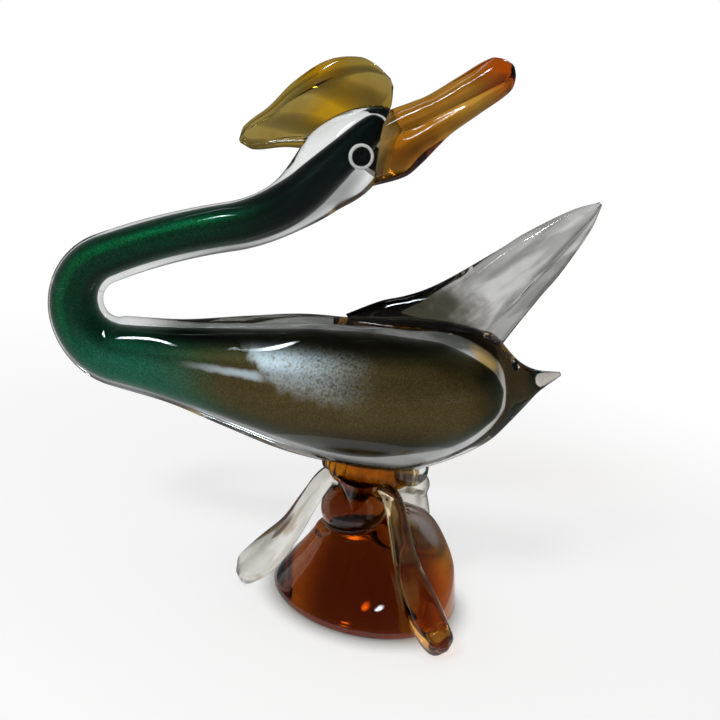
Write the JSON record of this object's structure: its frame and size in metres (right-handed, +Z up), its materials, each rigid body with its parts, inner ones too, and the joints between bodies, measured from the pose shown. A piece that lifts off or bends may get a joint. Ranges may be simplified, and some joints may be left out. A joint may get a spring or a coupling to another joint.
{
  "type": "cased glass bird figurine",
  "caption": "Solid art-glass bird with a green and gold core under clear glass, amber crest and bill, on an amber stand with clear legs.",
  "frame": {"origin": "middle of the foot's flat underside, on the floor", "axes": "+Z up, +X from the neck loop to the tail, +Y away from the side with the front leg"},
  "size_m": [0.2122, 0.0875, 0.2289],
  "materials": {
    "clear_glass": "clear, fire polished",
    "amber_glass": "amber, fire polished",
    "honey_glass": "honey amber, fire polished",
    "gold_core": "opaque olive gold with fine glitter",
    "green_core": "opaque dark green with fine glitter",
    "eye_white": "opaque white cane",
    "eye_black": "opaque black cane"
  },
  "bodies": {
    "root": {"body_core": "gold_core", "neck_core": "green_core", "body_casing": "clear_glass", "tail_fin": "clear_glass", "crest": "honey_glass", "upper_bill": "amber_glass", "lower_bill": "amber_glass", "near_eye_ring": "eye_white", "near_eye_pupil": "eye_black", "far_eye_ring": "eye_white", "far_eye_pupil": "eye_black", "collar": "amber_glass", "collar_drip": "amber_glass", "seat_pad": "clear_glass", "stem_bulb": "amber_glass", "base_core": "amber_glass", "base_casing": "clear_glass", "left_leg": "clear_glass", "front_leg": "clear_glass", "back_leg": "clear_glass"}
  },
  "joints": []
}
